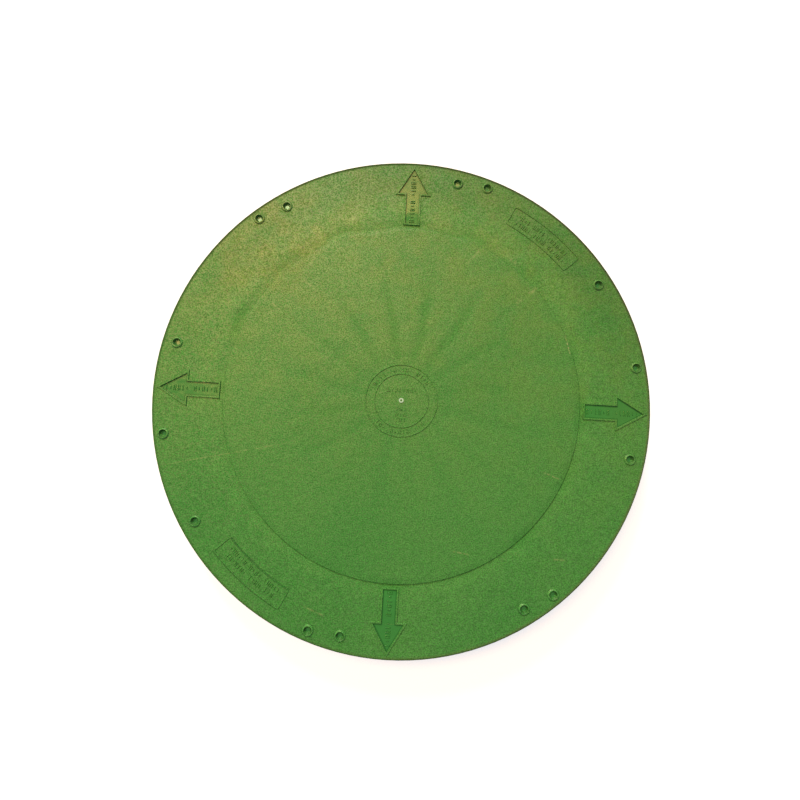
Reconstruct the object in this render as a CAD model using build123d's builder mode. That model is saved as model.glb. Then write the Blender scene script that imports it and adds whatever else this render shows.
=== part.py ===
from build123d import *
from math import degrees
import os

# Cover of a septic tank riser, in millimetres.
# Z = 0 is the foot of the skirt, +Z is up, and +Y is the way one of the four arrows points.

# Outer form
cover_d = 660.0
cover_h = 46.0
plate_t = 6.0
skirt_t = 5.0
rim_edge_r = 3.0
foot_edge = 1.2

# Raised panel in the middle of the top, how far its edge is from the rim, and the shallow dish round it
panel_margin = 94.5
panel_rise = 1.2
panel_edge = 0.5
dish_depth = 0.6
dish_w = 12.0

# Underside: hub ring, round ribs, straight ribs, and the channel that the riser's rim goes into
rib_depth = 22.0
rib_t = 4.0
rib_count = 16
rib_start = 11.25
hub_ring_d = 64.0
inner_ring_d = 203.0
middle_ring_d = 338.0
channel_w = 35.5

# Foam gasket and the low wall that keeps it in place
gasket_w = 12.0
gasket_h = 8.0
gasket_play = 0.5
gasket_wall_t = 2.5
gasket_wall_h = 4.0

# Screws down into the riser's rim: two rings of cups, set in from the rim. Each cup has a raised lip,
# a sloping wall and a short blind pilot in its floor, where the screw starts.
ring_a_inset = 21.25
ring_a_count = 8
ring_a_start = 33.75
ring_b_inset = 14.75
ring_b_count = 6
ring_b_start = 11.25
pilot_d = 5.2
pilot_depth = 0.8
cup_floor_d = 6.0
cup_mouth_d = 10.6
cup_depth = 3.2
lip_base_d = 15.4
lip_top_d = 12.2
lip_h = 1.6
lip_edge_r = 0.3

# Safety screws through the skirt, one below each arrow
arrow_count = 4
arrow_start = 90.0
safety_d = 6.4
safety_z = 20.0

# Arrow outlines, measured to the middle of their bead
arrow_tip_inset = 8.3
arrow_head_l = 38.1
arrow_shaft_l = 42.5
arrow_shaft_w = 20.0
arrow_head_w = 43.8
arrow_bead_w = 2.6
arrow_bead_h = 1.3
arrow_bead_edge = 0.5
arrow_floor_depth = 0.3

# Framed fields near the rim, measured to the outer edge of their line, but the corners on its inside
field_mid_angle = 52.4
field_count = 2
field_span = 21.0
field_inset = 20.5
field_w = 28.5
field_corner_r = 1.7
field_line_w = 1.8
field_line_h = 0.8
field_line_edge = 0.4

# Rings round the middle and the mark left by the moulding gate
medal_inner_d = 71.0
medal_outer_d = 95.0
medal_line_w = 1.8
medal_line_h = 0.8
medal_line_edge = 0.4
gate_d = 6.2
gate_hole_d = 2.4
gate_h = 0.8

# How deep a rib or a raised line is rooted in the plate
root = 1.5

# Levels and radii worked out from the sizes above
cover_r = cover_d / 2
panel_r = cover_r - panel_margin
plate_under = cover_h - plate_t
panel_top = cover_h + panel_rise
skirt_inner_r = cover_r - skirt_t
spigot_r = skirt_inner_r - channel_w
gasket_inner_r = spigot_r + gasket_play
gasket_outer_r = gasket_inner_r + gasket_w
gasket_wall_r = gasket_outer_r + gasket_play
ring_a_r = cover_r - ring_a_inset
ring_b_r = cover_r - ring_b_inset
arrow_tip_r = cover_r - arrow_tip_inset
arrow_neck_r = arrow_tip_r - arrow_head_l
arrow_foot_r = arrow_neck_r - arrow_shaft_l
field_outer_r = cover_r - field_inset
field_inner_r = field_outer_r - field_w
level_tolerance = 0.01


def level_with(height):
    """A test that finds the edges lying at one height."""

    def is_level(edge):
        box = edge.bounding_box()
        return max(abs(box.min.Z - height), abs(box.max.Z - height)) < level_tolerance

    return is_level


def curved_field(inset):
    """A field between two radii, with round corners and its edge moved in by inset."""
    inner_r = field_inner_r + inset
    outer_r = field_outer_r - inset
    span = field_span - degrees(4 * inset / (inner_r + outer_r))
    with BuildSketch() as field:
        with BuildLine():
            inner_arc = CenterArc((0, 0), inner_r, -span / 2, span)
            outer_arc = CenterArc((0, 0), outer_r, -span / 2, span)
            Line(inner_arc @ 0, outer_arc @ 0)
            Line(inner_arc @ 1, outer_arc @ 1)
        make_face()
        fillet(field.vertices(), radius=field_corner_r + field_line_w - inset)
    return field.sketch


def screw_ring(ring_r, count, start):
    """A ring of screw cups, each in its raised lip."""
    upward = (Align.CENTER, Align.CENTER, Align.MIN)
    downward = (Align.CENTER, Align.CENTER, Align.MAX)
    cup_floor = cover_h + lip_h - cup_depth
    with PolarLocations(ring_r, count, start_angle=start):
        with Locations((0, 0, cover_h)):
            Cone(lip_base_d / 2, lip_top_d / 2, lip_h, align=upward)
        with Locations((0, 0, cup_floor)):
            Cone(cup_floor_d / 2, cup_mouth_d / 2, cup_depth, align=upward, mode=Mode.SUBTRACT)
            Cylinder(pilot_d / 2, pilot_depth, align=downward, mode=Mode.SUBTRACT)


# Arrow, pointing along +X, and its outline
with BuildSketch() as arrow_shape:
    with BuildLine():
        Polyline(
            (arrow_foot_r, -arrow_shaft_w / 2),
            (arrow_neck_r, -arrow_shaft_w / 2),
            (arrow_neck_r, -arrow_head_w / 2),
            (arrow_tip_r, 0),
            (arrow_neck_r, arrow_head_w / 2),
            (arrow_neck_r, arrow_shaft_w / 2),
            (arrow_foot_r, arrow_shaft_w / 2),
            close=True,
        )
    make_face()

with BuildSketch() as arrow_line:
    half_bead = arrow_bead_w / 2
    offset(arrow_shape.sketch, amount=half_bead, kind=Kind.INTERSECTION)
    offset(arrow_shape.sketch, amount=-half_bead, kind=Kind.INTERSECTION, mode=Mode.SUBTRACT)

# Outline of a curved field, its middle on +X
with BuildSketch() as field_line:
    add(curved_field(0))
    add(curved_field(field_line_w), mode=Mode.SUBTRACT)

# The cover, one moulding
with BuildPart() as cover:
    # Plate, raised panel and skirt, turned about Z
    with BuildSketch(Plane.XZ):
        with BuildLine():
            Polyline(
                (0, plate_under),
                (skirt_inner_r, plate_under),
                (skirt_inner_r, 0),
                (cover_r, 0),
                (cover_r, cover_h),
                (panel_r + dish_w, cover_h),
                (panel_r, cover_h - dish_depth),
                (panel_r, panel_top),
                (0, panel_top),
                close=True,
            )
        make_face()
    revolve(axis=Axis.Z)
    rim_edges = cover.edges().filter_by(GeomType.CIRCLE).filter_by(level_with(cover_h)).sort_by(Edge.radius)
    fillet(rim_edges[-1], radius=rim_edge_r)
    chamfer(cover.edges().filter_by(level_with(0)), length=foot_edge)
    chamfer(cover.edges().filter_by(level_with(panel_top)), length=panel_edge)

    # Round ribs under the plate, the widest one being the ring that centres the cover
    with BuildSketch(Plane.XY.offset(plate_under - rib_depth)):
        for ring_r in (spigot_r, panel_r + rib_t / 2, middle_ring_d / 2, inner_ring_d / 2, hub_ring_d / 2):
            Circle(ring_r)
            Circle(ring_r - rib_t, mode=Mode.SUBTRACT)
    extrude(amount=rib_depth + root)

    # Low wall round the gasket
    with BuildSketch(Plane.XY.offset(plate_under - gasket_wall_h)):
        Circle(gasket_wall_r + gasket_wall_t)
        Circle(gasket_wall_r, mode=Mode.SUBTRACT)
    extrude(amount=gasket_wall_h + root)

    # Straight ribs from the hub ring to the centring ring
    rib_from = (hub_ring_d - rib_t) / 2
    rib_to = spigot_r - rib_t / 2
    with BuildSketch(Plane.XY.offset(plate_under - rib_depth)):
        with PolarLocations((rib_from + rib_to) / 2, rib_count, start_angle=rib_start):
            Rectangle(rib_to - rib_from, rib_t)
    extrude(amount=rib_depth + root)

    # Arrow floors, a little below the plate
    with BuildSketch(Plane.XY.offset(cover_h)):
        with PolarLocations(0, arrow_count, start_angle=arrow_start):
            add(arrow_shape.sketch)
    extrude(amount=-arrow_floor_depth, mode=Mode.SUBTRACT)

    # Arrow outlines
    with BuildSketch(Plane.XY.offset(cover_h - root)):
        with PolarLocations(0, arrow_count, start_angle=arrow_start):
            add(arrow_line.sketch)
    extrude(amount=root + arrow_bead_h)
    chamfer(cover.edges().filter_by(level_with(cover_h + arrow_bead_h)), length=arrow_bead_edge)

    # Framed fields
    with BuildSketch(Plane.XY.offset(cover_h - root)):
        with PolarLocations(0, field_count, start_angle=field_mid_angle):
            add(field_line.sketch)
    extrude(amount=root + field_line_h)
    chamfer(cover.edges().filter_by(level_with(cover_h + field_line_h)), length=field_line_edge)

    # Rings round the middle
    with BuildSketch(Plane.XY.offset(panel_top - root)):
        for medal_d in (medal_outer_d, medal_inner_d):
            Circle((medal_d + medal_line_w) / 2)
            Circle((medal_d - medal_line_w) / 2, mode=Mode.SUBTRACT)
    extrude(amount=root + medal_line_h)
    chamfer(cover.edges().filter_by(level_with(panel_top + medal_line_h)), length=medal_line_edge)

    # Gate mark
    with BuildSketch(Plane.XY.offset(panel_top - root)):
        Circle(gate_d / 2)
        Circle(gate_hole_d / 2, mode=Mode.SUBTRACT)
    extrude(amount=root + gate_h)

    # Screw cups
    screw_ring(ring_a_r, ring_a_count, ring_a_start)
    screw_ring(ring_b_r, ring_b_count, ring_b_start)
    fillet(cover.edges().filter_by(level_with(cover_h + lip_h)), radius=lip_edge_r)

    # Safety screw holes through the skirt
    with Locations((0, 0, safety_z)):
        with PolarLocations(cover_r, arrow_count, start_angle=arrow_start):
            with Locations(Rotation(0, 90, 0)):
                Hole(safety_d / 2, depth=2 * skirt_t)

# Foam gasket that seals on the riser's rim
with BuildPart() as rim_gasket:
    with BuildSketch(Plane.XY.offset(plate_under - gasket_h)):
        Circle(gasket_outer_r)
        Circle(gasket_inner_r, mode=Mode.SUBTRACT)
    extrude(amount=gasket_h)

os.makedirs("parts", exist_ok=True)
cover.part.label = "cover"
rim_gasket.part.label = "rim_gasket"
export_step(cover.part, "parts/cover.step")
export_step(rim_gasket.part, "parts/rim_gasket.step")
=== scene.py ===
# %% [markdown]
# # A moulded cover for a septic tank riser
#
# The real object is a green plastic disc, 660 mm across, photographed from just above while it lies on a
# white ground. One moulding makes the plate, the skirt and every raised line, and a foam ring is stuck
# underneath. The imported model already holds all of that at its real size, so this lesson is about the
# looks: where the camera stood, how the light fell, the small raised marks, and above all the plastic.

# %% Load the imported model
from math import cos, pi, radians, sin, sqrt

import bpy
from mathutils import Matrix, Vector


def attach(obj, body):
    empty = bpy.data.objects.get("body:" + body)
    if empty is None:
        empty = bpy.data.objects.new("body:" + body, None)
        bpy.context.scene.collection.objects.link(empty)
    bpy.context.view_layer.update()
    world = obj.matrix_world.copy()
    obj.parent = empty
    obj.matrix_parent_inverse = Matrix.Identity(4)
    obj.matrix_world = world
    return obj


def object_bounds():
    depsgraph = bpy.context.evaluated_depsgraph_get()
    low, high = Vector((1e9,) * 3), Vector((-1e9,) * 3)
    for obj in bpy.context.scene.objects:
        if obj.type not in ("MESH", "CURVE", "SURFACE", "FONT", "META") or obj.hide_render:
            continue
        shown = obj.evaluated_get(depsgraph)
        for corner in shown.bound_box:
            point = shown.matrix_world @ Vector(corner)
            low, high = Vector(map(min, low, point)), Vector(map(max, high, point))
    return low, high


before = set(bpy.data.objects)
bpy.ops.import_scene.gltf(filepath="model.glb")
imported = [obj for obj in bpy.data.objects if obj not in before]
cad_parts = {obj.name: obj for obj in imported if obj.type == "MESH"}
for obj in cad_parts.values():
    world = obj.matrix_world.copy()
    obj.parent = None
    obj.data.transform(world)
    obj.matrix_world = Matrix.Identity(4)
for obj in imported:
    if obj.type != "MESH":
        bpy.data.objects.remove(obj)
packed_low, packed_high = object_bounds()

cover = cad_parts["cover"]
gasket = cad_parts["rim_gasket"]
cover_radius = (packed_high.x - packed_low.x) / 2
top_level = packed_high.z
print("cover radius", round(cover_radius, 4), "m, highest point", round(top_level, 4), "m")

# %% [markdown]
# ## The camera
#
# The photograph was taken with a wide lens close above the cover: the nearer half looks larger, and the
# middle of the disc sits above the middle of its outline. A long lens from far away would be simpler to
# aim, but it could never give that. So the camera stands about 0.58 m above the ground, a little towards
# the near side, leans forward by 4.3 degrees and is turned by 3.3 degrees, as the cover is in the picture.

# %% Place the camera
camera_place = Vector((0.0, -0.0404, 0.5854))
camera_lean = radians(4.34)
camera_roll = radians(-0.08)
camera_turn = radians(3.34)
lens_mm = 18.43
sensor_mm = 36.0
nearest_seen = 0.01

camera_data = bpy.data.cameras.new("photo_camera")
camera_data.lens = lens_mm
camera_data.sensor_width = sensor_mm
camera_data.clip_start = nearest_seen
camera = bpy.data.objects.new("photo_camera", camera_data)
camera.location = camera_place
camera.rotation_euler = (camera_lean, camera_roll, camera_turn)
bpy.context.scene.collection.objects.link(camera)
bpy.context.scene.camera = camera
bpy.context.scene.view_settings.view_transform = "Standard"
print("camera", [round(v, 3) for v in camera.location], "lens", lens_mm, "mm")

# %% [markdown]
# ## Light and ground
#
# The raised lines show the way the light came: every edge that faces the bottom of the picture is dark, so
# the main lamp stood past the top of the picture, rather low. The upper left also carries a warm glare.
# A sun lamp would draw those edges, but too hard. An area lamp draws them and stays soft, so there is one
# for the edges and a larger, warmer one for the glare. Two weak lamps stand where smooth plastic mirrors
# them to the camera: one lights up the floor of the top arrow, the other the floors of two screw cups. All
# stand five metres off, so that the far side gets as much as the near one. The rest of the light comes
# evenly from the world.
#
# The ground is plain and pale. It shows as white to the camera, and still takes the cover's shadow.

# %% Aim four area lamps at the cover
lamp_distance = 5.0
pale_yellow = (1.0, 0.90, 0.70)
warm = (1.0, 0.53, 0.19)
pale_green = (0.20, 1.0, 0.62)

# Each lamp has its name, its angle seen from above and its height angle in degrees, its width and height in
# metres, its power in watts and its colour.
lamps = (
    ("edge_lamp", 107, 31, 0.9, 0.9, 136, pale_yellow),
    ("glare_lamp", 133, 57, 3.1, 2.2, 205, warm),
    ("arrow_lamp", 90, 56.5, 1.4, 0.9, 28, warm),
    ("glint_lamp", 123.5, 55, 0.7, 0.7, 16, pale_green),
)


def add_lamp(name, toward, height_angle, width, height, power, color):
    """An area lamp that looks at the middle of the cover, placed by its angle from above and its height."""
    data = bpy.data.lights.new(name, "AREA")
    data.shape = "ELLIPSE"
    data.size = width
    data.size_y = height
    data.energy = power
    data.color = color
    lamp = bpy.data.objects.new(name, data)
    flat = lamp_distance * cos(height_angle)
    above = top_level + lamp_distance * sin(height_angle)
    lamp.location = (flat * cos(toward), flat * sin(toward), above)
    aim = Vector((0, 0, top_level)) - lamp.location
    lamp.rotation_euler = aim.to_track_quat("-Z", "Y").to_euler()
    bpy.context.scene.collection.objects.link(lamp)
    return lamp


for name, toward, height_angle, width, height, power, color in lamps:
    lamp = add_lamp(name, radians(toward), radians(height_angle), width, height, power, color)
    print(lamp.name, "at", [round(v, 2) for v in lamp.location])

# %% [markdown]
# The fill comes from all sides at once, as in a bright room. The camera should see plain white behind the
# cover, but so much white would wash out every shade on it. Light Path tells the two apart: the camera's own
# rays meet white, and all others meet the weak, slightly blue fill.

# %% Fill light from the world, white to the camera
fill_strength = 0.212
fill_tint = (0.93, 0.97, 1.0, 1.0)
plain_white = (1.0, 1.0, 1.0, 1.0)

world = bpy.data.worlds.new("studio_world")
bpy.context.scene.world = world
world.use_nodes = True
sky = world.node_tree
sky.nodes.clear()
sky_out = sky.nodes.new("ShaderNodeOutputWorld")
sky_mix = sky.nodes.new("ShaderNodeMixShader")
sky_fill = sky.nodes.new("ShaderNodeBackground")
sky_white = sky.nodes.new("ShaderNodeBackground")
sky_path = sky.nodes.new("ShaderNodeLightPath")
sky_fill.inputs["Color"].default_value = fill_tint
sky_fill.inputs["Strength"].default_value = fill_strength
sky_white.inputs["Color"].default_value = plain_white
sky.links.new(sky_path.outputs["Is Camera Ray"], sky_mix.inputs[0])
sky.links.new(sky_fill.outputs[0], sky_mix.inputs[1])
sky.links.new(sky_white.outputs[0], sky_mix.inputs[2])
sky.links.new(sky_mix.outputs[0], sky_out.inputs["Surface"])
print("world fill", fill_strength)

# %% [markdown]
# ## A few short helpers for node materials
#
# Every finish below is built from shader nodes, so it needs no pictures. Written out one by one, the nodes
# would fill pages. A few helpers keep the recipes readable: one starts a material, one joins or sets a
# socket, and the others add one sum, one remapped value, one noise or one mix of two colours.
#
# Noise is used again and again, for a tone, a width or a strength that comes and goes. So each noise is a
# named grain: its lumps to the metre, its detail, its roughness, and what counts as its low and its high.

# %% Node helpers
def new_material(name):
    """An empty node material, its tree and its Principled shader, already joined to the output."""
    material = bpy.data.materials.new(name)
    material.use_nodes = True
    tree = material.node_tree
    tree.nodes.clear()
    out = tree.nodes.new("ShaderNodeOutputMaterial")
    shader = tree.nodes.new("ShaderNodeBsdfPrincipled")
    tree.links.new(shader.outputs["BSDF"], out.inputs["Surface"])
    return material, tree, shader


def feed(tree, socket, value):
    """Joins a socket to another socket, or sets it to a plain value."""
    if isinstance(value, bpy.types.NodeSocket):
        tree.links.new(value, socket)
    else:
        socket.default_value = value


def maths(tree, operation, a, b=0.0, c=0.0):
    """One sum as a Math node."""
    node = tree.nodes.new("ShaderNodeMath")
    node.operation = operation
    for socket, value in zip(node.inputs, (a, b, c)):
        feed(tree, socket, value)
    return node.outputs[0]


def remap(tree, value, low, high, to_low=0.0, to_high=1.0):
    """Turns a value between low and high smoothly into one between to_low and to_high."""
    node = tree.nodes.new("ShaderNodeMapRange")
    node.interpolation_type = "SMOOTHSTEP"
    feed(tree, node.inputs["Value"], value)
    for socket, limit in zip(("From Min", "From Max", "To Min", "To Max"), (low, high, to_low, to_high)):
        node.inputs[socket].default_value = limit
    return node.outputs["Result"]


def noise(tree, place, per_metre, detail, roughness):
    """Soft noise, with about that many lumps to the metre."""
    node = tree.nodes.new("ShaderNodeTexNoise")
    feed(tree, node.inputs["Vector"], place)
    node.inputs["Scale"].default_value = per_metre
    node.inputs["Detail"].default_value = detail
    node.inputs["Roughness"].default_value = roughness
    return node.outputs["Fac"]


def mottle(tree, place, grain, to_low=0.0, to_high=1.0):
    """Noise of a named grain, turned into a value between to_low and to_high."""
    per_metre, detail, roughness, low, high = grain
    return remap(tree, noise(tree, place, per_metre, detail, roughness), low, high, to_low, to_high)


def blend_colors(tree, amount, first, second, how="MIX"):
    """Mixes two colours; how may also be MULTIPLY, SCREEN and so on."""
    node = tree.nodes.new("ShaderNodeMix")
    node.data_type = "RGBA"
    node.blend_type = how
    feed(tree, node.inputs["Factor"], amount)
    feed(tree, node.inputs["A"], first)
    feed(tree, node.inputs["B"], second)
    return node.outputs["Result"]


def both(tree, a, b):
    """One where both of two masks are one."""
    return maths(tree, "MULTIPLY", a, b)


def flip(tree, value):
    """One less the value, so that a mask covers what it left out."""
    return maths(tree, "SUBTRACT", 1.0, value)


print("helpers ready")

# %% [markdown]
# ## Where on the cover a point is
#
# Much of the finish goes by place: straight ribs under the plate show through as faint streaks, the arrows
# have a smooth floor, and the rim is grimy. A painted picture could hold all that, but nodes can work it
# out from the point's own coordinates. Object coordinates are metres in the cover's frame, and the cover's
# middle is at zero, so a point's distance from the middle and its angle round it are two short sums.

# %% Distance and angle round the middle
cup_circles = ((0.30875, 8, radians(33.75)), (0.31525, 6, radians(11.25)))
far_away = 1.0
steep = 0.35


def place_on_cover(tree):
    """Sockets for the point itself, its x, y and z, its distance from the middle and its angle."""
    coordinates = tree.nodes.new("ShaderNodeTexCoord")
    split = tree.nodes.new("ShaderNodeSeparateXYZ")
    tree.links.new(coordinates.outputs["Object"], split.inputs[0])
    x, y, z = split.outputs
    squares = maths(tree, "ADD", maths(tree, "MULTIPLY", x, x), maths(tree, "MULTIPLY", y, y))
    distance = maths(tree, "SQRT", squares)
    angle = maths(tree, "ARCTAN2", y, x)
    return coordinates.outputs["Object"], x, y, z, distance, angle


def off_spoke(tree, distance, angle, spokes, first):
    """How far to the side of the nearest of several even spokes a point is, in metres and in radians."""
    step = 2 * pi / spokes
    turned = maths(tree, "SUBTRACT", angle, first - step / 2)
    side = maths(tree, "SUBTRACT", maths(tree, "FLOORED_MODULO", turned, step), step / 2)
    return maths(tree, "MULTIPLY", distance, maths(tree, "SINE", side)), side


def cup_reach(tree, distance, angle):
    """How far a point is from the middle of the nearest screw cup, in metres."""
    nearest = far_away
    for circle, count, first in cup_circles:
        side = off_spoke(tree, distance, angle, count, first)[0]
        off_ring = maths(tree, "SUBTRACT", distance, circle)
        square = maths(tree, "MULTIPLY_ADD", side, side, maths(tree, "MULTIPLY", off_ring, off_ring))
        nearest = maths(tree, "MINIMUM", maths(tree, "SQRT", square), nearest)
    return nearest


def facing_lamps(tree):
    """One where the surface slopes toward the top of the picture, and so to the lamps, zero where away."""
    coordinates = tree.nodes.new("ShaderNodeTexCoord")
    split = tree.nodes.new("ShaderNodeSeparateXYZ")
    tree.links.new(coordinates.outputs["Normal"], split.inputs[0])
    return remap(tree, split.outputs["Y"], -steep, steep)


print(sum(count for _, count, _ in cup_circles), "screw cups on two circles")

# %% [markdown]
# ## The arrow floors
#
# Inside each arrow outline the plastic is smooth, where the rest has a fine grain. It shines more at the
# top of the picture and looks deeper elsewhere. The mask below is the arrow's own shape: a straight shaft
# and a triangular head, worked out once on a spoke and so repeated at all four.

# %% Arrow mask
arrow_count = 4
arrow_foot = 0.2424
arrow_neck = 0.2849
arrow_tip = 0.3191
arrow_half_shaft = 0.0087
arrow_half_head = 0.0196
mask_edge = 0.0004
slanted = 1.15


def arrow_floor_mask(tree, distance, angle, inset=0.0):
    """One on the floor of the four arrows, zero elsewhere, and smaller all round by the inset.

    Along the slanted sides of the head the inset counts a little more, because it is taken sideways there.
    """
    side, turn = off_spoke(tree, distance, angle, arrow_count, 0.0)
    side = maths(tree, "ABSOLUTE", side)
    along = maths(tree, "MULTIPLY", distance, maths(tree, "COSINE", turn))
    half_shaft = arrow_half_shaft - inset
    in_shaft = both(
        tree,
        remap(tree, side, half_shaft - mask_edge, half_shaft + mask_edge, 1.0, 0.0),
        both(
            tree,
            remap(tree, along, arrow_foot + inset - mask_edge, arrow_foot + inset + mask_edge),
            remap(tree, along, arrow_neck + inset, arrow_neck + inset + mask_edge, 1.0, 0.0),
        ),
    )
    slope = arrow_half_head / (arrow_tip - arrow_neck)
    head_half = maths(tree, "MULTIPLY", maths(tree, "SUBTRACT", arrow_tip, along), slope)
    past_edge = maths(tree, "SUBTRACT", side, maths(tree, "SUBTRACT", head_half, inset * slanted))
    in_head = both(
        tree,
        remap(tree, past_edge, -mask_edge, mask_edge, 1.0, 0.0),
        remap(tree, along, arrow_neck + inset, arrow_neck + inset + mask_edge),
    )
    return maths(tree, "MAXIMUM", in_shaft, in_head)


print("arrow floor from", arrow_foot, "to", arrow_tip, "m")

# %% [markdown]
# Painted shade lies in the corners beside raised lines, where their shadows fall. Inside the arrows it lines
# the floor, and along the long sides of the framed fields it draws a thin line, stronger on the lower half.

# %% Painted shade beside the lines
# Width and strength of the painted shade beside the lines, which is stronger towards the bottom.
shade_width = 0.0013
field_count = 2
field_middle = radians(52.4)
field_half_span = radians(10.4)
field_lines = (0.3095, 0.2810)
off_the_line = 0.0004
line_fade = (0.0006, 0.0014)
span_edge = 0.003
shade_from_y, shade_to_y = -0.10, 0.05
shade_low, shade_high = 0.10, 0.75
arrow_shade = 0.8


def line_shade(tree, distance, angle, floor, y):
    """One in the corners beside the arrow outlines and the long field lines, where shade is painted."""
    inner = arrow_floor_mask(tree, distance, angle, shade_width)
    in_arrow = both(tree, floor, flip(tree, inner))
    turn = maths(tree, "ABSOLUTE", off_spoke(tree, distance, angle, field_count, field_middle)[1])
    in_span = remap(tree, turn, field_half_span - span_edge, field_half_span + span_edge, 1.0, 0.0)
    line = 0.0
    for radius in field_lines:
        off_line = maths(tree, "ABSOLUTE", maths(tree, "SUBTRACT", distance, radius + off_the_line))
        line = maths(tree, "MAXIMUM", remap(tree, off_line, *line_fade, 1.0, 0.0), line)
    shaded = remap(tree, y, shade_from_y, shade_to_y, shade_high, shade_low)
    on_lines = both(tree, both(tree, line, in_span), shaded)
    return maths(tree, "MAXIMUM", maths(tree, "MULTIPLY", in_arrow, arrow_shade), on_lines)


print("corner_shade", round(shade_width * 1000, 1), "mm wide")

# %% [markdown]
# ## The green plastic
#
# This is the finish that makes or breaks the picture. Close up, the moulding is not one green. It is
# cloudy, a little yellow towards the top and the upper left from a painted warm sheen, darker in a fine
# stipple, and streaked with painted shade where the ribs pulled the plate in as it cooled. The colour is
# laid down in that order, from the broad to the fine.
# The same masks then drive the roughness and the bump, so that what looks different also shines differently.

# %% Broad colour of the plastic
deep_green = (0.046, 0.250, 0.056, 1.0)
light_green = (0.061, 0.270, 0.065, 1.0)
# The olive and the values below paint a warm sheen, strongest towards the top and at a spot at the upper
# left.
sheen_olive = (0.130, 0.250, 0.055, 1.0)
sheen_toward = radians(85)
sheen_from, sheen_to, sheen_most = -0.75, 1.05, 0.40
spot_x, spot_y = -0.195, 0.215
spot_core, spot_reach, spot_most = 0.02, 0.14, 0.35
cloud_grain = (11.0, 3.0, 0.5, 0.30, 0.72)
patch_grain = (22.0, 4.0, 0.65, 0.36, 0.66)
patch_low, patch_high = 0.50, 1.50


def sheen_spot(tree, x, y):
    """Where the painted warm sheen is strongest, a spot at the upper left, as a strength."""
    across, up = maths(tree, "SUBTRACT", x, spot_x), maths(tree, "SUBTRACT", y, spot_y)
    square = maths(tree, "MULTIPLY_ADD", across, across, maths(tree, "MULTIPLY", up, up))
    return remap(tree, maths(tree, "SQRT", square), spot_core, spot_reach, spot_most, 0.0)


def broad_color(tree, point, x, y):
    """Cloudy green, with a painted warm sheen that turns it a little yellow towards the top and the upper
    left.
    """
    color = blend_colors(tree, mottle(tree, point, cloud_grain), deep_green, light_green)
    toward_sheen = maths(
        tree,
        "ADD",
        maths(tree, "MULTIPLY", x, cos(sheen_toward) / cover_radius),
        maths(tree, "MULTIPLY", y, sin(sheen_toward) / cover_radius),
    )
    # Painted warm sheen, growing towards the top, with its strongest spot at the upper left.
    sheen = remap(tree, toward_sheen, sheen_from, sheen_to, 0.0, sheen_most)
    sheen = maths(tree, "ADD", sheen, sheen_spot(tree, x, y))
    patches = mottle(tree, point, patch_grain, patch_low, patch_high)
    return blend_colors(tree, maths(tree, "MULTIPLY", sheen, patches), color, sheen_olive)


print("greens", deep_green[:3], light_green[:3])

# %% [markdown]
# The ribs leave their trace on top: a shallow sink over each rib in the bump, and along it a dark streak
# of painted shade, stronger on the upper half, where the light grazes it. A streak that was perfectly
# straight and even would look ruled, so noise pushes it a little to the side and makes it come and go.

# %% Streaks over the ribs
spoke_first = radians(11.25)
spoke_count = 16
streak_half_width = 0.012
streak_core = 0.001
streak_sway = 0.005
streak_starts, streak_full = 0.040, 0.060
streak_wanes, streak_ends = 0.120, 0.205
lean_up, lean_left = 0.75, 0.25
lean_reach = 0.05
streak_faint, streak_strong = 0.42, 0.72
streak_low, streak_high = 0.65, 1.15
sway_grain = (14.0, 2.0, 0.5, 0.25, 0.75)
streak_grain = (9.0, 2.0, 0.5, 0.30, 0.70)


def rib_streak(tree, point, distance, side, x, y):
    """One along the middle of a streak over a rib."""
    sway = mottle(tree, point, sway_grain, -streak_sway, streak_sway)
    side = maths(tree, "ABSOLUTE", maths(tree, "ADD", side, sway))
    near_rib = remap(tree, side, streak_core, streak_half_width, 1.0, 0.0)
    begins = remap(tree, distance, streak_starts, streak_full)
    reach = both(tree, begins, remap(tree, distance, streak_wanes, streak_ends, 1.0, 0.0))
    upward, leftward = maths(tree, "MULTIPLY", y, lean_up), maths(tree, "MULTIPLY", x, lean_left)
    toward_light = maths(tree, "SUBTRACT", upward, leftward)
    stronger = remap(tree, toward_light, -lean_reach, lean_reach, streak_faint, streak_strong)
    uneven = mottle(tree, point, streak_grain, streak_low, streak_high)
    return both(tree, both(tree, near_rib, reach), both(tree, uneven, stronger))


print("streak", round(streak_half_width * 2000, 1), "mm wide over", spoke_count, "ribs")

# %% [markdown]
# Along the panel's edge runs a shallow valley. It swings outward between two ribs and is deeper there than
# over one, so that the edge looks quilted.

# %% Valley along the panel's edge
valley_radius = 0.2370
valley_swing = 0.006
valley_inner = 0.010
valley_outer = 0.019
lobe_starts = 0.02
swing_from_y, swing_to_y = -0.02, 0.14
swing_low, swing_high = 0.6, 1.2
valley_over_rib = 0.45
valley_low, valley_high = 0.6, 1.2
swing_grain = (9.0, 2.0, 0.5, 0.3, 0.7)
valley_grain = (7.0, 2.0, 0.5, 0.3, 0.7)


def panel_valley(tree, point, distance, turn, y):
    """One along the bottom of the valley, and how far a point is from that bottom, in metres."""
    lobe = remap(tree, maths(tree, "ABSOLUTE", turn), lobe_starts, pi / spoke_count)
    upper = remap(tree, y, swing_from_y, swing_to_y)
    shift = both(tree, both(tree, lobe, upper), mottle(tree, point, swing_grain, swing_low, swing_high))
    middle = maths(tree, "ADD", maths(tree, "MULTIPLY", shift, valley_swing), valley_radius)
    off_middle = maths(tree, "SUBTRACT", distance, middle)
    falling = remap(tree, off_middle, -valley_inner, 0.0, 0.0, 1.0)
    rising = remap(tree, off_middle, 0.0, valley_outer, 1.0, 0.0)
    deeper = remap(tree, lobe, 0.0, 1.0, valley_over_rib, 1.0)
    valley = both(tree, both(tree, falling, rising), deeper)
    return both(tree, valley, mottle(tree, point, valley_grain, valley_low, valley_high)), off_middle


print("valley", round((valley_inner + valley_outer) * 1000, 1), "mm wide at", valley_radius, "m")
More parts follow.
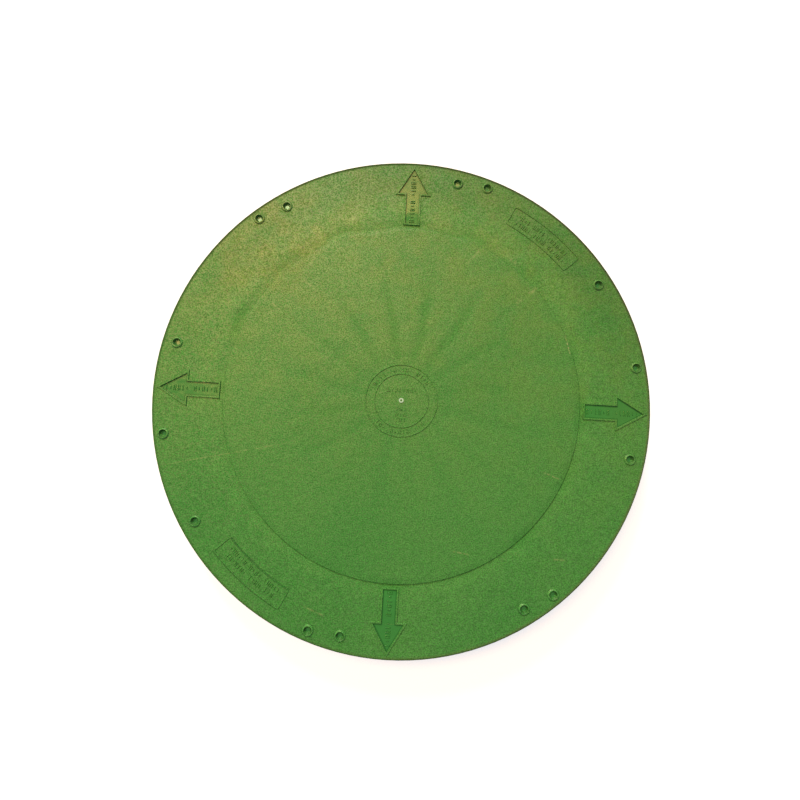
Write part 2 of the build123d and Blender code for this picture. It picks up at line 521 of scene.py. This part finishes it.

# %% [markdown]
# In the valley the plastic has fine creases at the upper left: one that follows the bottom, and short ones
# that run outward between the ribs. A thin broken line also marks the panel's edge all the way round. Both
# are drawn as painted shade, a darker colour along them.

# %% Creases
panel_edge_radius = 0.2360
crease_wander = 0.0025
crease_fade = (0.0004, 0.0026)
seam_half_width = 0.0040
seam_strength = 0.7
seam_starts, seam_full = 0.246, 0.256
seam_wanes, seam_ends = 0.285, 0.31
crease_from_y, crease_to_y = 0.11, 0.17
crease_from_x, crease_to_x = -0.10, 0.12
crease_low, crease_high = 0.1, 0.9
edge_fade = (0.0004, 0.0014)
edge_low, edge_high = 0.15, 0.75
wander_grain = (70.0, 3.0, 0.5, 0.3, 0.7)
crease_grain = (90.0, 4.0, 0.75, 0.42, 0.60)
edge_grain = (30.0, 3.0, 0.5, 0.35, 0.65)


def creases(tree, point, distance, turn, off_middle, x, y):
    """One along the creases in the valley and along the panel's edge."""
    wander = mottle(tree, point, wander_grain, -crease_wander, crease_wander)
    off_crease = maths(tree, "ABSOLUTE", maths(tree, "ADD", off_middle, wander))
    round_crease = remap(tree, off_crease, *crease_fade, 1.0, 0.0)
    to_seam = maths(tree, "SUBTRACT", pi / spoke_count, maths(tree, "ABSOLUTE", turn))
    off_seam = maths(tree, "ADD", maths(tree, "MULTIPLY", to_seam, distance), wander)
    seam = remap(tree, maths(tree, "ABSOLUTE", off_seam), 0.0, seam_half_width, seam_strength, 0.0)
    seam = both(tree, seam, remap(tree, distance, seam_starts, seam_full))
    seam = both(tree, seam, remap(tree, distance, seam_wanes, seam_ends, 1.0, 0.0))
    upper = remap(tree, y, crease_from_y, crease_to_y)
    upper_left = both(tree, upper, remap(tree, x, crease_from_x, crease_to_x, 1.0, 0.0))
    crease = both(tree, maths(tree, "MAXIMUM", round_crease, seam), upper_left)
    crease = both(tree, crease, mottle(tree, point, crease_grain, crease_low, crease_high))
    off_edge = maths(tree, "ABSOLUTE", maths(tree, "SUBTRACT", distance, panel_edge_radius))
    edge = remap(tree, off_edge, *edge_fade, 1.0, 0.0)
    edge = both(tree, edge, mottle(tree, point, edge_grain, edge_low, edge_high))
    return maths(tree, "MAXIMUM", crease, edge)


def rib_traces(tree, point, distance, angle, x, y):
    """Masks from zero to one: streaks over the ribs, the valley along the panel's edge, and its creases."""
    side, turn = off_spoke(tree, distance, angle, spoke_count, spoke_first)
    streak = rib_streak(tree, point, distance, side, x, y)
    valley, off_middle = panel_valley(tree, point, distance, turn, y)
    return streak, valley, creases(tree, point, distance, turn, off_middle, x, y)


print("panel's edge at", panel_edge_radius, "m")

# %% [markdown]
# Handling has left short pale scuffs. Each is a line from one point to another with a soft, broken edge.
# They could be scattered at random, but then they would lie in other places than on the real cover, so
# their ends are given. One distance sum per scuff is enough.

# %% Scuffs
# Each scuff has its two ends, its half width and its strength.
scuffs = (
    ((0.212, 0.105), (0.221, 0.073), 0.0016, 0.9),
    ((0.163, 0.152), (0.174, 0.164), 0.0040, 0.6),
    ((0.145, 0.139), (0.156, 0.147), 0.0040, 0.5),
    ((0.125, 0.211), (0.146, 0.193), 0.0050, 0.25),
    ((0.076, 0.188), (0.096, 0.211), 0.0040, 0.35),
    ((0.190, -0.083), (0.212, -0.091), 0.0016, 0.5),
    ((0.076, -0.190), (0.099, -0.193), 0.0018, 0.45),
    ((-0.193, 0.130), (-0.166, 0.110), 0.0016, 0.45),
    ((-0.143, 0.157), (-0.125, 0.143), 0.0030, 0.35),
    ((-0.309, -0.103), (-0.139, -0.063), 0.0014, 0.35),
    ((-0.110, -0.269), (-0.081, -0.280), 0.0018, 0.40),
    ((0.206, -0.193), (0.224, -0.193), 0.0020, 0.35),
)
scuff_full, scuff_end = 0.3, 0.55
scuff_grain = (330.0, 3.0, 0.65, 0.38, 0.58)


def scuff_mask(tree, point, x, y):
    """One along every scuff, broken up by noise."""
    total = 0.0
    for (from_x, from_y), (to_x, to_y), half_width, strength in scuffs:
        length = sqrt((to_x - from_x) ** 2 + (to_y - from_y) ** 2)
        way_x, way_y = (to_x - from_x) / length, (to_y - from_y) / length
        off_x = maths(tree, "SUBTRACT", x, (from_x + to_x) / 2)
        off_y = maths(tree, "SUBTRACT", y, (from_y + to_y) / 2)
        along_x, along_y = maths(tree, "MULTIPLY", off_x, way_x), maths(tree, "MULTIPLY", off_y, way_y)
        along = maths(tree, "ADD", along_x, along_y)
        across_x, across_y = maths(tree, "MULTIPLY", off_x, way_y), maths(tree, "MULTIPLY", off_y, way_x)
        across = maths(tree, "SUBTRACT", across_x, across_y)
        on_line = remap(tree, maths(tree, "ABSOLUTE", across), 0.0, half_width, strength, 0.0)
        off_middle = maths(tree, "ABSOLUTE", along)
        in_length = remap(tree, off_middle, length * scuff_full, length * scuff_end, 1.0, 0.0)
        total = maths(tree, "MAXIMUM", both(tree, on_line, in_length), total)
    return both(tree, total, mottle(tree, point, scuff_grain))


print(len(scuffs), "scuffs")

# %% [markdown]
# Now the fine part: the stipple, and the brighter blotches in the border. The stipple multiplies what lies
# below it, and the smooth arrow floors keep only a fifth of it.

# %% Stipple and blotches
blotch_tint = (1.12, 1.07, 1.09, 1.0)
border_starts, border_full = 0.2365, 0.2385
border_wanes, border_ends = 0.250, 0.285
stipple_off_floor = 0.8
coarse_swing = 0.10
fine_swing = 0.32
blotch_grain = (45.0, 3.0, 0.55, 0.40, 0.62)
coarse_grain = (170.0, 3.0, 0.7, 0.30, 0.70)
fine_grain = (700.0, 1.0, 0.5, 0.30, 0.70)


def stipple_over(tree, point, distance, floor, color):
    """The colour with blotches just outside the panel's edge and the stipple everywhere."""
    outside = remap(tree, distance, border_starts, border_full)
    outside = both(tree, outside, remap(tree, distance, border_wanes, border_ends, 1.0, 0.0))
    blotches = both(tree, mottle(tree, point, blotch_grain), outside)
    color = blend_colors(tree, blotches, color, blotch_tint, "MULTIPLY")
    coarse = mottle(tree, point, coarse_grain, 1 - coarse_swing, 1 + coarse_swing)
    fine = mottle(tree, point, fine_grain, 1 - fine_swing, 1 + fine_swing)
    stipple = maths(tree, "MULTIPLY", coarse, fine)
    stipple_color = tree.nodes.new("ShaderNodeCombineXYZ")
    for socket in stipple_color.inputs:
        tree.links.new(stipple, socket)
    stippled = flip(tree, maths(tree, "MULTIPLY", floor, stipple_off_floor))
    return blend_colors(tree, stippled, color, stipple_color.outputs[0], "MULTIPLY")


print("stipple, per metre:", coarse_grain[0], "and", fine_grain[0])

# %% [markdown]
# Over that go the things that are not the plastic's own green: the deeper tone of the arrow floors, the
# painted shade beside the lines, the scuffs, the dust and a darker band on the rounded rim, and the whitened
# ring where the moulding was cut from its gate.

# %% Colour of the plastic
# Painted shade over the ribs.
streak_shade_tint, streak_shade_share = (0.70, 0.93, 0.86, 1.0), 0.55
# Painted shade along the creases and the panel's edge.
crease_shade_tint, crease_shade_share = (0.55, 0.74, 0.66, 1.0), 0.5
floor_tint = (0.68, 0.95, 0.92, 1.0)
# Tint of the painted shade in corners.
corner_shade_tint = (0.46, 0.62, 0.52, 1.0)
scuff_pale = (0.30, 0.42, 0.20, 1.0)
rim_dust = (0.180, 0.200, 0.140, 1.0)
# A darker tone for a band along the rim.
rim_dark_tone = (0.034, 0.045, 0.026, 1.0)
stress_white = (0.42, 0.68, 0.62, 1.0)
flank_foot, flank_head = (0.04573, 0.0459), (0.0462, 0.0465)
dust_from_x, dust_to_x, dust_low, dust_high = -0.20, 0.25, 0.12, 0.42
# The rim's darker band is strongest towards the far side, at larger y.
rim_dark_from_y, rim_dark_to_y, rim_dark_low, rim_dark_high = -0.10, 0.25, 0.28, 0.75
gate_inner, gate_outer = (0.0011, 0.0016), (0.0030, 0.0034)
gate_level = (0.044, 0.046)


def plastic_color(tree, point, x, y, z, distance, traces, floor, corner_shade, rim):
    """The plastic's colour, from broad clouds to fine stipple, with its painted sheen and shade, dust and
    wear.
    """
    streak, _, crease = traces
    color = broad_color(tree, point, x, y)
    # Painted shade along the streaks over the ribs.
    color = blend_colors(tree, maths(tree, "MULTIPLY", streak, streak_shade_share), color, streak_shade_tint, "MULTIPLY")
    # Painted shade along the creases and the panel's edge.
    color = blend_colors(tree, maths(tree, "MULTIPLY", crease, crease_shade_share), color, crease_shade_tint, "MULTIPLY")
    color = stipple_over(tree, point, distance, floor, color)

    color = blend_colors(tree, floor, color, floor_tint, "MULTIPLY")
    # Painted shade also lines the foot of the raised outline on the arrow floors.
    flank = both(tree, remap(tree, z, *flank_foot), remap(tree, z, *flank_head, 1.0, 0.0))
    corner_shade = maths(tree, "MAXIMUM", corner_shade, both(tree, floor, flank))
    color = blend_colors(tree, corner_shade, color, corner_shade_tint, "MULTIPLY")
    color = blend_colors(tree, scuff_mask(tree, point, x, y), color, scuff_pale)
    dust = both(tree, rim, remap(tree, x, dust_from_x, dust_to_x, dust_low, dust_high))
    color = blend_colors(tree, dust, color, rim_dust)
    # The rim turns darker, most towards the far side.
    rim_darkening = both(tree, rim, remap(tree, y, rim_dark_from_y, rim_dark_to_y, rim_dark_low, rim_dark_high))
    color = blend_colors(tree, rim_darkening, color, rim_dark_tone)
    gate = both(tree, remap(tree, distance, *gate_inner), remap(tree, distance, *gate_outer, 1.0, 0.0))
    return blend_colors(tree, both(tree, gate, remap(tree, z, *gate_level)), color, stress_white)


print("rim dust", rim_dust[:3], "and grime", rim_dark_tone[:3])

# %% [markdown]
# A screw cup is only a dozen pixels wide in the picture, and yet it is what the eye goes to. Its wall gets
# painted shade, less where it faces the lamps. Its floor is smooth, its lip gets a painted highlight, and
# painted shade sits round the lip's foot, less on the side that faces the lamps. Four masks round the middle
# of the nearest cup give those.

# %% Screw cups
cup_floor_color = (0.045, 0.260, 0.085, 1.0)
# The wall tint is painted shade.
cup_wall_shade_tint = (0.34, 0.48, 0.34, 1.0)
# The lip tint is a painted highlight.
cup_lip_highlight_tint = (1.50, 1.28, 1.50, 1.0)
cup_floor_fade = (0.0026, 0.0031)
wall_inner, wall_outer = (0.0028, 0.0033), (0.0050, 0.0057)
lip_inner, lip_outer = (0.0054, 0.0058), (0.0064, 0.0070)
foot_inner, foot_outer = (0.0070, 0.0076), (0.0080, 0.0087)
# Strength of the painted shade round the lip's foot, and how much of it stays where wall and foot face the
# lamps.
foot_shade = 0.60
level_ground = 0.5
lit_wall_shade = 0.50
lit_foot_shade = 0.5


def cup_masks(tree, distance, angle, on_top):
    """Masks of the nearest screw cup: its floor, its wall, its lip and the painted shade at the lip's foot.
    """
    cup = cup_reach(tree, distance, angle)
    floor = both(tree, remap(tree, cup, *cup_floor_fade, 1.0, 0.0), on_top)
    wall = both(tree, remap(tree, cup, *wall_inner), remap(tree, cup, *wall_outer, 1.0, 0.0))
    lip = both(tree, remap(tree, cup, *lip_inner), remap(tree, cup, *lip_outer, 1.0, 0.0))
    foot = both(tree, remap(tree, cup, *foot_inner), remap(tree, cup, *foot_outer, foot_shade, 0.0))
    return floor, both(tree, wall, on_top), both(tree, lip, on_top), both(tree, foot, on_top)


def cups_over(tree, cups, color):
    """The colour with the cups' floors, painted shade on walls and feet, and painted highlights on lips."""
    floor, wall, lip, foot = cups
    facing = facing_lamps(tree)
    # Painted shade on the wall, less where it faces the lamps.
    shaded_wall = both(tree, wall, remap(tree, facing, level_ground, 1.0, 1.0, lit_wall_shade))
    color = blend_colors(tree, shaded_wall, color, cup_wall_shade_tint, "MULTIPLY")
    # A painted highlight on the lip.
    color = blend_colors(tree, lip, color, cup_lip_highlight_tint, "MULTIPLY")
    # Painted shade round the lip's foot, less where it faces the lamps.
    shaded_foot = both(tree, foot, remap(tree, facing, 0.0, 1.0, 1.0, lit_foot_shade))
    color = blend_colors(tree, shaded_foot, color, corner_shade_tint, "MULTIPLY")
    return blend_colors(tree, floor, color, cup_floor_color)


print("cup lip up to", round(lip_outer[1] * 1000, 1), "mm from the cup's middle")

# %% [markdown]
# The bump is a height in metres, so it can be judged like a real surface: the sink over a rib is a third
# of a millimetre deep, the valley along the panel's edge nearly one, the soft ripple of the whole plate about
# half of one, and the stipple at most a fifth. The arrow floors leave nearly all of the stipple out.

# %% Bump of the plastic
sink_depth = 0.00035
valley_depth = 0.0009
stipple_height = 0.00018
grain_height = 0.00020
ripple_height = 0.0011
stipple_on_floor = 0.08
grain_on_floor = 0.1
stipple_noise = (520.0, 2.0, 0.6)
grain_noise = (160.0, 3.0, 0.7)
ripple_noise = (24.0, 3.0, 0.65)


def plastic_height(tree, point, traces, floor):
    """The plastic's small relief as a height in metres."""
    streak, valley, _ = traces
    stipple = maths(tree, "MULTIPLY", noise(tree, point, *stipple_noise), stipple_height)
    stipple = maths(tree, "MULTIPLY", stipple, remap(tree, floor, 0.0, 1.0, 1.0, stipple_on_floor))
    grain = maths(tree, "MULTIPLY", noise(tree, point, *grain_noise), grain_height)
    grain = maths(tree, "MULTIPLY", grain, remap(tree, floor, 0.0, 1.0, 1.0, grain_on_floor))
    ripple = maths(tree, "MULTIPLY", noise(tree, point, *ripple_noise), ripple_height)
    ripple = maths(tree, "ADD", ripple, grain)
    sink = maths(tree, "MULTIPLY", streak, -sink_depth)
    sag = maths(tree, "MULTIPLY", valley, -valley_depth)
    return maths(tree, "ADD", maths(tree, "ADD", stipple, ripple), maths(tree, "ADD", sink, sag))


print("sink over a rib", round(sink_depth * 1000, 2), "mm")

# %% [markdown]
# Roughness and shine come from the same masks. Arrow floors and cup floors are smoother and mirror a lamp,
# the rim is worn matt, and the streaks, the valley and the creases are duller than the plate. A fine noise
# on the shine makes the stipple sparkle, as each of its grains catches the light differently.

# %% Roughness and shine
rough_low, rough_high = 0.50, 0.57
rough_grain = (60.0, 3.0, 0.6, 0.3, 0.7)
smoother_arrow, smoother_cup, smoother_lip = 0.28, 0.42, 0.15
rougher_rim, rougher_border = 0.35, 0.05
trace_dullness = (0.5, 0.45, 0.6)
plain_shine = 0.5
sparkle_spread = 0.85
sparkle_grain = (640.0, 1.0, 0.5, 0.32, 0.68)


def plastic_roughness(tree, point, floor, cup_floor, cup_lip, rim, border):
    """How rough the plastic is."""
    rough = mottle(tree, point, rough_grain, rough_low, rough_high)
    rough = maths(tree, "SUBTRACT", rough, maths(tree, "MULTIPLY", floor, smoother_arrow))
    rough = maths(tree, "SUBTRACT", rough, maths(tree, "MULTIPLY", cup_floor, smoother_cup))
    rough = maths(tree, "SUBTRACT", rough, maths(tree, "MULTIPLY", cup_lip, smoother_lip))
    rough = maths(tree, "ADD", rough, maths(tree, "MULTIPLY", rim, rougher_rim))
    return maths(tree, "ADD", rough, maths(tree, "MULTIPLY", border, rougher_border))


def plastic_shine(tree, point, traces, floor, cup_floor, rim):
    """How strongly the plastic mirrors, with a sparkle everywhere but on the smooth floors."""
    dull = 0.0
    for trace, share in zip(traces, trace_dullness):
        dull = maths(tree, "MAXIMUM", maths(tree, "MULTIPLY", trace, share), dull)
    shine = both(tree, remap(tree, dull, 0.0, 1.0, plain_shine, 0.0), remap(tree, rim, 0.0, 1.0, 1.0, 0.0))
    smooth = maths(tree, "MAXIMUM", floor, cup_floor)
    sparkle = mottle(tree, point, sparkle_grain, -sparkle_spread, sparkle_spread)
    sparkle = both(tree, sparkle, flip(tree, smooth))
    return both(tree, shine, maths(tree, "ADD", sparkle, 1.0))


print("roughness from", rough_low, "to", rough_high)

# %% [markdown]
# Last, the parts are put together: where the masks end, the colour, the roughness, the shine and the bump.
# The floors of the cups get no bump, or the glints in them would break up.

# %% Put the green plastic together
top_zone = (0.040, 0.044)
rim_width, rim_core = 0.0060, 0.0020
rim_zone = (0.0425, 0.0445)
# The outer border towards the top gets painted shade that tones down the glare there, and is a little
# rougher.
border_in, border_out = 0.258, 0.302
border_from_y, border_to_y = -0.05, 0.22
border_from_x, border_to_x = -0.22, -0.02
border_faint = 0.45
border_shade_tint = (0.78, 0.84, 0.84, 1.0)
plastic_ior = 1.5
no_bump_from = 0.5


def make_green_plastic():
    """The moulded green plastic of the cover and of every mark on it."""
    material, tree, shader = new_material("green_plastic")
    point, x, y, z, distance, angle = place_on_cover(tree)
    on_top = remap(tree, z, *top_zone)
    floor = both(tree, arrow_floor_mask(tree, distance, angle), on_top)
    rim = remap(tree, distance, cover_radius - rim_width, cover_radius - rim_core)
    rim = both(tree, rim, remap(tree, z, *rim_zone))
    border = remap(tree, distance, border_in, border_out)
    border = both(tree, border, remap(tree, y, border_from_y, border_to_y))
    border = both(tree, border, remap(tree, x, border_from_x, border_to_x, border_faint, 1.0))
    cups = cup_masks(tree, distance, angle, on_top)
    cup_floor, _, cup_lip, _ = cups
    traces = rib_traces(tree, point, distance, angle, x, y)
    # Painted shade in the corners beside the raised lines.
    corner_shade = both(tree, line_shade(tree, distance, angle, floor, y), on_top)

    color = plastic_color(tree, point, x, y, z, distance, traces, floor, corner_shade, rim)
    # Painted shade on the outer border towards the top.
    color = blend_colors(tree, both(tree, border, on_top), color, border_shade_tint, "MULTIPLY")
    color = cups_over(tree, cups, color)
    tree.links.new(color, shader.inputs["Base Color"])
    rough = plastic_roughness(tree, point, floor, cup_floor, cup_lip, rim, border)
    tree.links.new(rough, shader.inputs["Roughness"])
    shine = plastic_shine(tree, point, traces, floor, cup_floor, rim)
    tree.links.new(shine, shader.inputs["Specular IOR Level"])
    shader.inputs["IOR"].default_value = plastic_ior
    bump = tree.nodes.new("ShaderNodeBump")
    bump.inputs["Distance"].default_value = 1.0
    tree.links.new(remap(tree, cup_floor, 0.0, no_bump_from, 1.0, 0.0), bump.inputs["Strength"])
    tree.links.new(plastic_height(tree, point, traces, floor), bump.inputs["Height"])
    tree.links.new(bump.outputs["Normal"], shader.inputs["Normal"])
    return material


green_plastic = make_green_plastic()
cover.data.materials.clear()
cover.data.materials.append(green_plastic)
print(green_plastic.name, "has", len(green_plastic.node_tree.nodes), "nodes")

# %% [markdown]
# ## The foam gasket
#
# The seal under the rim is a strip of closed-cell foam. It is nearly black and quite matt, and its cut
# faces show the small cells. A cellular texture gives those, both as tone and as bump.

# %% Grey foam
cells_per_metre = 520.0
cell_edge = 0.8
cell_low = 0.2
cell_dark = (0.020, 0.021, 0.022, 1.0)
cell_grey = (0.062, 0.063, 0.064, 1.0)
foam_dust = (0.095, 0.085, 0.070, 1.0)
foam_dust_most = 0.35
foam_grain = (35.0, 3.0, 0.5, 0.35, 0.65)
foam_rough, foam_less_rough = 0.95, 0.80
cell_depth = 0.0005


def make_grey_foam():
    """Closed-cell foam, with cells about two millimetres wide."""
    material, tree, shader = new_material("grey_foam")
    point = tree.nodes.new("ShaderNodeTexCoord").outputs["Object"]
    cells = tree.nodes.new("ShaderNodeTexVoronoi")
    cells.inputs["Scale"].default_value = cells_per_metre
    tree.links.new(point, cells.inputs["Vector"])
    cell = cells.outputs["Distance"]
    color = blend_colors(tree, remap(tree, cell, 0.0, cell_edge, cell_low, 1.0), cell_dark, cell_grey)
    color = blend_colors(tree, mottle(tree, point, foam_grain, 0.0, foam_dust_most), color, foam_dust)
    tree.links.new(color, shader.inputs["Base Color"])
    rough = remap(tree, cell, 0.0, cell_edge, foam_rough, foam_less_rough)
    tree.links.new(rough, shader.inputs["Roughness"])
    bump = tree.nodes.new("ShaderNodeBump")
    bump.inputs["Distance"].default_value = cell_depth
    tree.links.new(cell, bump.inputs["Height"])
    tree.links.new(bump.outputs["Normal"], shader.inputs["Normal"])
    return material


grey_foam = make_grey_foam()
gasket.data.materials.clear()
gasket.data.materials.append(grey_foam)
print(grey_foam.name, "on", gasket.name)

# %% [markdown]
# ## Raised marks
#
# The moulding carries rows of small raised marks: along each arrow's shaft, in the two framed fields and
# round the middle. Each is a plain tick: a bar, a pair of bars or a short bar, with softened edges. One
# bar is modelled as by hand, from a cube whose top is drawn in and whose edges are bevelled, and every
# other bar is a copy of it, stretched and set in its place.

# %% Model one stroke
stroke_rise = 0.0008
stroke_root = 0.0003
facing_up = 0.9
top_drawn_in = (0.70, 0.90, 1.0)
edge_bevel = 0.12


def model_stroke():
    """A stroke one unit wide and one long, standing on its root, with its top drawn in and edges softened."""
    bpy.ops.object.select_all(action="DESELECT")
    bpy.ops.mesh.primitive_cube_add(size=1.0, location=(0, 0, 0.5))
    stroke = bpy.context.active_object
    stroke.name = "stroke"
    bpy.ops.object.transform_apply(location=True, rotation=False, scale=False)
    bpy.ops.object.mode_set(mode="EDIT")
    bpy.ops.mesh.select_mode(type="FACE")
    bpy.ops.mesh.select_all(action="DESELECT")
    bpy.ops.object.mode_set(mode="OBJECT")
    for face in stroke.data.polygons:
        face.select = face.normal.z > facing_up
    bpy.ops.object.mode_set(mode="EDIT")
    bpy.ops.transform.resize(value=top_drawn_in)
    bpy.ops.mesh.bevel(offset=edge_bevel, segments=2, affect="EDGES")
    bpy.ops.object.mode_set(mode="OBJECT")
    return stroke


stroke = model_stroke()
print("stroke has", len(stroke.data.polygons), "faces")

# %% [markdown]
# Each copy is sunk a little into the plastic, so that no gap can show under it. All the strokes of one place
# are then joined to one piece, which is easier to handle than many small ones. It is shaded smooth except
# across sharp edges, and takes the green plastic, because it belongs to the same moulding.

# %% Copy strokes into one piece
smooth_below = radians(40)


def set_strokes(name, spots, level):
    """One mesh of many strokes. A spot is its middle x and y, its turn, its width and its length."""
    copies = []
    for x, y, turn, width, length in spots:
        copy = stroke.copy()
        copy.data = stroke.data.copy()
        bpy.context.scene.collection.objects.link(copy)
        place = Matrix.Translation((x, y, level - stroke_root)) @ Matrix.Rotation(turn, 4, "Z")
        size = Matrix.Diagonal((width, length, stroke_rise + stroke_root, 1.0))
        copy.data.transform(place @ size)
        copies.append(copy)
    bpy.ops.object.select_all(action="DESELECT")
    for copy in copies:
        copy.select_set(True)
    bpy.context.view_layer.objects.active = copies[0]
    bpy.ops.object.join()
    piece = bpy.context.active_object
    piece.name = name
    piece.data.name = name
    piece.data.materials.clear()
    piece.data.materials.append(green_plastic)
    bpy.ops.object.shade_smooth_by_angle(angle=smooth_below)
    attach(piece, "root")
    print(name, "has", len(spots), "strokes and", len(piece.data.polygons), "faces")
    return piece


print("strokes are sunk by", round(stroke_root * 1000, 2), "mm")

# %% [markdown]
# A row of marks has a rhythm, so that it does not read as a plain comb: some marks are one full stroke,
# some are two, and some are one short stroke. A zero leaves a gap. The same function lays a row out
# straight or bends it round the middle, because it only asks a path where each mark stands.

# %% Lay out a row of marks
stroke_width = 0.0012
pair_offset = 0.0011
short_share = 0.55


def mark_strokes(kind, height):
    """The strokes of one mark, each with its offset along the row and its length."""
    if kind == 1:
        return [(0, height)]
    if kind == 2:
        return [(-pair_offset, height), (pair_offset, height)]
    if kind == 3:
        return [(0, height * short_share)]
    return []


def row_of_marks(rhythm, pitch, height, path):
    """Spots for a row of marks. The path gives a place and a turn for a distance from the row's middle."""
    spots = []
    for number, kind in enumerate(rhythm):
        middle = (number - (len(rhythm) - 1) / 2) * pitch
        for along, length in mark_strokes(kind, height):
            (x, y), turn = path(middle + along)
            spots.append((x, y, turn, stroke_width, length))
    return spots


def straight_path(start, turn):
    """A path straight through start."""
    return lambda way: ((start[0] + cos(turn) * way, start[1] + sin(turn) * way), turn)


def round_path(radius, middle_angle, outward=True):
    """A path round the middle of the cover. Marks stand with their heads outward, or inward."""
    side = -1 if outward else 1

    def path(way):
        angle = middle_angle + side * way / radius
        return (radius * cos(angle), radius * sin(angle)), angle + side * pi / 2

    return path


print("rows ready")

# %% [markdown]
# The first rows run along the shafts of the four arrows, on their smooth floors. The arrows are alike, so
# one rhythm serves all four, and each row only turns with its arrow.

# %% Marks along the arrows
arrow_floor_level = 0.0457
arrow_row_middle = 0.2785
arrow_pitch, arrow_mark_height = 0.0054, 0.0070
arrow_row_rhythm = (2, 3, 1, 2, 3, 2, 0, 3, 1, 2, 2, 3, 1)

for name, angle in (("north", 90), ("west", 180), ("south", 270), ("east", 0)):
    turn = radians(angle)
    start = (arrow_row_middle * cos(turn), arrow_row_middle * sin(turn))
    spots = row_of_marks(arrow_row_rhythm, arrow_pitch, arrow_mark_height, straight_path(start, turn))
    set_strokes("arrow_marks_" + name, spots, arrow_floor_level)

# %% [markdown]
# Each framed field holds two rows, one above the other, and both bend with the field. The second field is
# the first one turned by half a turn about the middle, and so are its rows.

# %% Marks in the framed fields
plate_level = 0.046
field_pitch, field_mark_height = 0.0050, 0.0060
# Each row has its radius and its rhythm.
field_rows = (
    (0.2985, (2, 3, 1, 0, 2, 2, 3, 1, 0, 3, 2, 1, 2, 3, 2, 1)),
    (0.2890, (3, 1, 2, 2, 3, 0, 1, 2, 3, 2, 0, 2, 1, 3, 2, 2, 3)),
)

for name, turn in (("upper", field_middle), ("lower", field_middle + pi)):
    spots = []
    for radius, rhythm in field_rows:
        spots += row_of_marks(rhythm, field_pitch, field_mark_height, round_path(radius, turn))
    set_strokes("field_marks_" + name, spots, plate_level)

# %% [markdown]
# The last rows are in the middle of the panel. Two bend round it, the upper with its heads outward and the
# lower with its heads inward, so that both stand upright in the picture. Short straight rows lie inside.

# %% Marks round the middle
panel_level = 0.0472
band_radius = 0.0412
band_pitch, band_mark_height = 0.0054, 0.0055
# Each bent row has the angle of its middle, whether its heads stand outward, and its rhythm.
band_rows = (
    (radians(94), True, (2, 3, 1, 2, 0, 3, 2, 0, 1, 2, 3, 0, 2, 1, 3, 2)),
    (radians(270), False, (1, 2, 3, 0, 2, 3, 2, 1, 2, 0, 3, 1, 2)),
)
# Each straight row has its y, its pitch, its height and its rhythm.
middle_rows = (
    (0.0135, 0.0050, 0.0055, (2, 3, 2, 1, 3, 2, 2, 3)),
    (-0.0115, 0.0052, 0.0045, (1, 2, 1)),
    (-0.0185, 0.0052, 0.0045, (2, 1, 2)),
    (-0.0255, 0.0052, 0.0045, (1, 2, 1)),
)
spots = []
for middle_angle, outward, rhythm in band_rows:
    bent = round_path(band_radius, middle_angle, outward)
    spots += row_of_marks(rhythm, band_pitch, band_mark_height, bent)
for row_y, pitch, height, rhythm in middle_rows:
    spots += row_of_marks(rhythm, pitch, height, straight_path((0.0, row_y), 0.0))
set_strokes("middle_marks", spots, panel_level)
bpy.data.objects.remove(stroke)

# %% [markdown]
# ## The ground
#
# A large plain plane, pale enough to look like the white ground of the picture. Light Path tells the
# material when the camera looks at it, straight or in a mirror: then extra white is added, so that the
# ground is white and the cover's shadow stays as a soft tone. That white is only seen and casts no light.

# %% Lay the ground
ground_size = 12.0
ground_pale = (0.58, 0.61, 0.70, 1.0)
ground_rough = 0.9
ground_glow = (0.95, 0.96, 1.0, 1.0)
ground_white = 0.70

bpy.ops.object.select_all(action="DESELECT")
bpy.ops.mesh.primitive_plane_add(size=ground_size, location=(0, 0, 0))
ground = bpy.context.active_object
ground.name = "ground"
material, tree, shader = new_material("pale_ground")
shader.inputs["Base Color"].default_value = ground_pale
shader.inputs["Roughness"].default_value = ground_rough
path_kind = tree.nodes.new("ShaderNodeLightPath")
seen = maths(tree, "MAXIMUM", path_kind.outputs["Is Camera Ray"], path_kind.outputs["Is Glossy Ray"])
seen = maths(tree, "MAXIMUM", seen, path_kind.outputs["Is Transmission Ray"])
shader.inputs["Emission Color"].default_value = ground_glow
tree.links.new(maths(tree, "MULTIPLY", seen, ground_white), shader.inputs["Emission Strength"])
ground.data.materials.append(material)
print("ground", ground_size, "m across")
